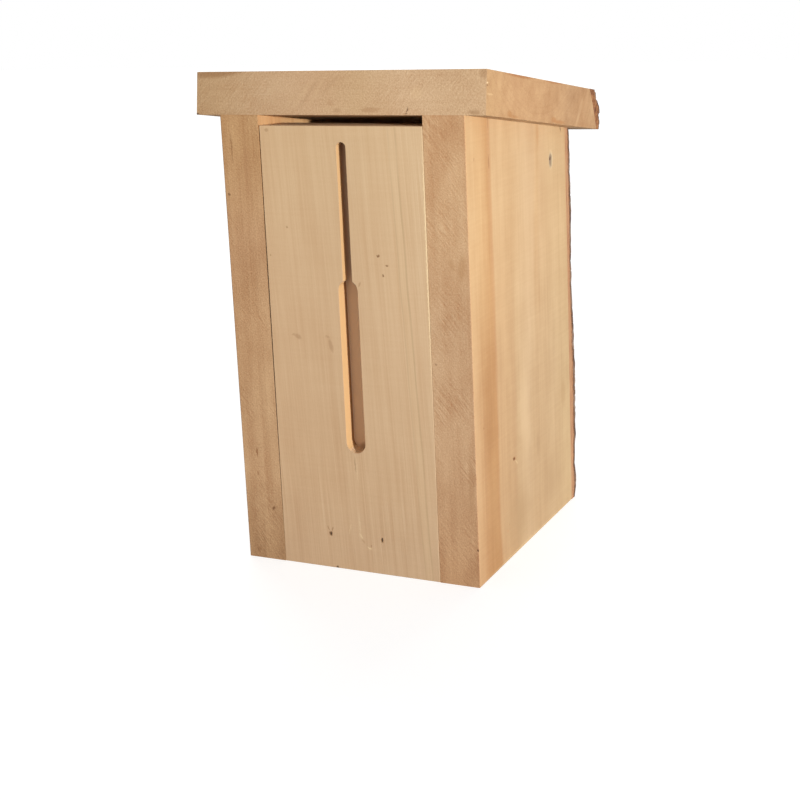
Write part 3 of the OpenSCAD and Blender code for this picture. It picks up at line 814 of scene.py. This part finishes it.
soften(bm, 0.35, lambda a, b: abs(a.z - b.z) < 0.1 and (a.z < 0.1 or a.z > PANEL_HIGH - 0.1))
finish_piece("panel", bm, [panel_wood, panel_end], by_normal(z=1), "house", "back_wood",
             "back_panel")

# %% [markdown]
# The sides. Their brads and pivot nails were driven below the surface and filled, so those holes
# are closed again with a shallow dimple. The pivot nail's is torn a little along the grain. Only
# the outer arrises are worn: the inner ones lie against the back, where a bevel would leave a
# groove.

# %% Side pieces
def close_holes(bm, places):
    """Takes out the walls of round holes along X, and closes their rims with shallow dimples."""
    for y, z, radius in places:
        inside = [f for f in bm.faces if all(math.hypot(v.co.y / MM - y, v.co.z / MM - z) < radius
                                             for v in f.verts)]
        bmesh.ops.delete(bm, geom=inside, context="FACES")
    rims = [e for e in bm.edges if len(e.link_faces) == 1]
    filled = bmesh.ops.holes_fill(bm, edges=rims, sides=0)["faces"]
    outer = [f for f in filled if abs(f.calc_center_median().x / MM - HOUSE_X) > OUTER_X - 0.5]
    bmesh.ops.inset_individual(bm, faces=outer, thickness=0.2 * MM, depth=-0.15 * MM)
    return len(filled)


PIVOT = (33.9095, 229.031)
FILLED_HOLES = [(-50.1, BRAD_Z, 1.5), (-0.1, BRAD_Z, 1.5), (*PIVOT, 4.5)]
for side, sign, face_wood, edge_wood in (("right", 1, right_wood, right_edge),
                                         ("left", -1, left_wood, left_edge)):
    bm = board_copy(side + "_side")
    rim = [v for v in bm.verts if math.hypot(v.co.y / MM - PIVOT[0], v.co.z / MM - PIVOT[1]) < 3
           and abs(v.co.x / MM - HOUSE_X) > OUTER_X - 0.1]
    bmesh.ops.scale(bm, verts=rim, vec=(1, 0.95, 1.5),
                    space=Matrix.Translation((0, -PIVOT[0] * MM, -PIVOT[1] * MM)))
    print(side, "holes closed:", close_holes(bm, FILLED_HOLES))
    soften(bm, 0.5, lambda a, b: min(abs(a.x), abs(b.x)) > OUTER_X - 0.5 and (
        max(a.y, b.y) < 0.2 or abs(a.z) + abs(b.z) < 0.2))
    finish_piece(side + "_board", bm, [face_wood, edge_wood, end_wood], by_normal(0, 1, 2), "house",
                 "side_wood", side + "_side")

# %% [markdown]
# The roof, the floor, the door and the button follow in the same way. The roof's lower edges stay
# sharp. The rim of the door's entrance hole is rounded over a little more, as is done where a bird
# goes in and out.

# %% Roof, floor, door and button
bm = board_copy("roof_board")
soften(bm, 0.5, lambda a, b: min(p.z + p.y * math.tan(SLOPE) for p in (a, b)) > 280 and (
    abs(a.x - b.x) < 0.2 or max(a.y, b.y) < 20) or max(a.y, b.y) < 8 and abs(a.z - b.z) > 12)
finish_piece("roof_piece", bm, [roof_end, roof_back, roof_top], by_normal(0, 1, 2), "house",
             "roof_wood", "roof_board")
bm = board_copy("floor_board")
soften(bm, 0.5, lambda a, b: True, longer_mm=20)
finish_piece("floor_piece", bm, [end_wood, floor_wood], by_normal(0, 1, 1), "house", "side_wood",
             "floor_board")
bm = board_copy("front_door")
print("door edges:", soften(bm, 0.8, lambda a, b: True, longer_mm=20))
HOLE_Z, HOLE_MM, FACE_Y = 184, 16, 142.5
print("rim edges:", soften(bm, 1.6, lambda a, b: a.y > FACE_Y and b.y > FACE_Y and max(
    math.hypot(p.x, p.z - HOLE_Z) for p in (a, b)) < HOLE_MM + 1, longer_mm=0.5, segments=4))
finish_piece("door_piece", bm, [door_wood, end_wood], by_normal(0, 0, 1), "door", "back_wood",
             "front_door")
bm = board_copy("turn_button")
print("button edges:", soften(bm, 0.8, lambda a, b: True, longer_mm=3))
finish_piece("button_piece", bm, [button_wood], by_normal(), "latch", "button_wood", "turn_button")

# %% [markdown]
# Bark grows over the round of the trunk, and the boards' front edges keep it. Its cracks and plates
# show in the outline, so they are real shape and not a picture. Six grids are welded into a block,
# and each point of it is given a share across the board, a share of the bark's depth and a share
# along it. The block follows the frame's own lumps, which are waves of a few lengths. The cracks
# only ever cut into it: long furrows part it into plates, short nicks cross them every few
# millimetres, and thin flakes lift off the plates. Their sizes are across the board and along it,
# in mm. The bends of the cracks would start from the clock, so a seed keeps them the same in every
# run.

# %% Bark pieces
BARK_MM, LUMP_MM, BOW_MM, CRACK_MM, FLAKE_MM = 9, 1.8, 1, 1.3, 0.5
SWELL_WAVE, LONG_WAVE, SHORT_WAVE, DRIFT_WAVE = 540, 105, 23, 97
BEND_SIZE, FURROW_SIZE, NICK_SIZE, FLAKE_SIZE = (9, 16), (3.6, 21), (10, 5.2), (2.2, 6)
GRID_MM, DEPTH_STEPS = 0.5, 12
CRACK_SEED = 7
noise.seed_set(CRACK_SEED)


def turn_sine(turns, degrees):
    return math.sin(2 * math.pi * turns + math.radians(degrees))


def wood_edge(a, short, wane):
    """Distance of the wood's edge from the back, at share a across the board."""
    return short + wane * (1 - a) + BOW_MM * 4 * a * (1 - a)


def bark_thickness(a, b, phase):
    """The frame's own bark, at share a across the board and b millimetres along it."""
    return BARK_MM + LUMP_MM * (
        0.8 * turn_sine(b / SWELL_WAVE, 90) + 0.55 * turn_sine(b / LONG_WAVE + 0.8 * a, phase)
        + 0.16 * turn_sine(b / SHORT_WAVE - 1.3 * a, 2 * phase)
        + 0.3 * turn_sine(1.7 * a, 120 * turn_sine(b / DRIFT_WAVE, phase)))


def spot_on_bark(across, b, size, phase):
    """A point on the skin, measured in a pattern's own size."""
    return Vector((across / size[0], b / size[1], phase))


def bark_crack(across, b, phase):
    """How deep the skin is cracked at a point in mm, from 0 on a plate to 1 in a furrow."""
    bend = noise.noise_vector(spot_on_bark(across, b, BEND_SIZE, phase))
    across, b = across + 1.6 * bend.x, b + 3 * bend.y
    furrow = 1 - abs(noise.noise(spot_on_bark(across, b, FURROW_SIZE, phase + 9))) / 0.2
    nick = 1 - abs(noise.noise(spot_on_bark(across, b, NICK_SIZE, phase + 5))) / 0.12
    return max(0.0, furrow, 0.65 * nick)


def bark_flake(across, b, phase):
    """How far the plates' own flakes lie below their highest point, from 0 to 1."""
    spot = spot_on_bark(across, b, FLAKE_SIZE, phase + 3)
    return 0.5 - 0.32 * noise.noise(spot) - 0.18 * noise.noise(3.3 * spot)


def between(points, x):
    """Reads a value off the line that joins some points."""
    for (x0, y0), (x1, y1) in zip(points, points[1:]):
        if x <= x1:
            return y0 + (y1 - y0) * (x - x0) / (x1 - x0)
    return points[-1][1]


def bark_piece(name, node, width, length, phase, short, wane, place, low=0.0, layers=(0.58, 0.66),
               extra=None):
    """Shapes a strip of bark: place(a, y, v) puts a point on the house."""
    steps = [round(width / GRID_MM), DEPTH_STEPS, round(length / GRID_MM)]
    bm = bmesh.new()
    layer_name = bm.verts.layers.float.new("layer")
    crack_name = bm.verts.layers.float.new("crack")
    for u, w in ((1, 2), (0, 2), (0, 1)):
        for end in (0.0, 1.0):
            grid = bmesh.ops.create_grid(bm, x_segments=steps[u], y_segments=steps[w], size=0.5)
            for vert in grid["verts"]:
                share = [end] * 3
                share[u], share[w] = vert.co.x + 0.5, vert.co.y + 0.5
                vert.co = share
    bmesh.ops.remove_doubles(bm, verts=bm.verts, dist=0.0001)
    for vert in bm.verts:
        a, depth, v = vert.co
        b = low + length * v
        crack = bark_crack(a * width, b, phase)
        thick = (bark_thickness(a, b, phase) - CRACK_MM * crack
                 - FLAKE_MM * bark_flake(a * width, b, phase))
        if extra:
            thick += extra(a, b)
        vert.co = place(a, wood_edge(a, short, wane) + depth * thick, v) * MM
        vert[layer_name] = between([(0, 0), (layers[0], 1), (layers[1], 2), (1, 3)], depth)
        vert[crack_name] = crack * depth ** 4
    bmesh.ops.recalc_face_normals(bm, faces=bm.faces)
    finish_piece(name, bm, [bark], lambda face: 0, "house", "bark", node)


def side_place(sign):
    def place(a, y, v):
        return Vector((HOUSE_X + sign * (INNER_X + BOARD_MM * a), y + BACK_Y,
                       (HOUSE_HIGH - y * math.tan(SLOPE)) * v))
    return place


def roof_place(a, s, v):
    place = Vector((ROOF_RIGHT - ROOF_LONG * v, s, ROOF_THICK * a))
    return Matrix.Rotation(-SLOPE, 4, "X") @ place + Vector(ROOF_FRAME[0])

# %% [markdown]
# Two stretches of bark have lumps of their own, which show in the outline: the right side's, by the
# height above its foot, and the roof's at its right end, by the share of the roof's thickness. Each
# list joins heights in mm by straight lines. The sides are shorter at the bark than at the back, so
# a place along the bark is scaled to its height.

# %% Lumps in the outline
SIDE_LUMPS = [(0, -3.5), (6, -1.3), (14, 0.3), (24, -1.2), (32, 0.3), (42, 2.3), (52, 0.6),
              (60, 0.8), (68, 0.4), (77, 1.8), (87, 0.6), (97, 1.8), (105, 0.4), (114, 2.6),
              (124, 2), (136, 1), (150, -0.8), (158, -1.4), (168, 0), (176, -0.5), (186, 1.2),
              (198, 1.5), (208, 2.4), (222, 1.8), (232, 1.5), (240, 0.3), (270, 0)]
ROOF_END_LUMPS = [(0, -2.6), (0.12, -1.8), (0.28, -2), (0.36, -3), (0.42, 0.8), (0.5, 2.4),
                  (0.61, 3.6), (0.73, 3), (0.77, 0.4), (0.82, 1.2), (0.9, 2), (1, 1.2)]
FRONT_SHARE = 0.906
END_REACH_MM = 16


def side_lumps(a, b):
    """The outline that the photograph shows on the right side, strongest on its outer face."""
    return a * a * between(SIDE_LUMPS, FRONT_SHARE * b)


def roof_end_lumps(a, b):
    """The bulge and the two notches that the photograph shows at the roof's right end."""
    return max(0.0, 1 - (b + ROOF_LONG / 2) / END_REACH_MM) * between(ROOF_END_LUMPS, a)


bark_piece("right_bark", "right_side_bark", BOARD_MM, HOUSE_HIGH, phase=230, short=158, wane=8,
           place=side_place(1), extra=side_lumps)
bark_piece("left_bark", "left_side_bark", BOARD_MM, HOUSE_HIGH, phase=80, short=158, wane=8,
           place=side_place(-1))
bark_piece("roof_edge_bark", "roof_bark", ROOF_THICK, ROOF_LONG, phase=290, short=169, wane=15.5,
           place=roof_place, low=-ROOF_LONG / 2, layers=(-0.1, 0.85), extra=roof_end_lumps)

# %% [markdown]
# The fasteners keep the frame's own shapes, and only take the steel's finish. The solids that the
# pieces above stand in for take the same timber and bark as those pieces.

# %% Fasteners
for name in ("back_brads", "side_brads", "roof_nails", "left_pivot_nail", "right_pivot_nail",
             "latch_washer", "latch_screw"):
    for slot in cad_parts[name].material_slots:
        slot.material = steel
for name, material in (("back_panel", panel_wood), ("left_side", left_wood),
                       ("right_side", right_wood), ("left_side_bark", bark),
                       ("right_side_bark", bark), ("roof_bark", bark), ("floor_board", floor_wood),
                       ("roof_board", roof_top), ("front_door", door_wood),
                       ("turn_button", button_wood)):
    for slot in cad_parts[name].material_slots:
        slot.material = material
print("materials in all:", len(bpy.data.materials))

# %% [markdown]
# Last, the scene is brought up to date.

# %% Finish
bpy.context.view_layer.update()
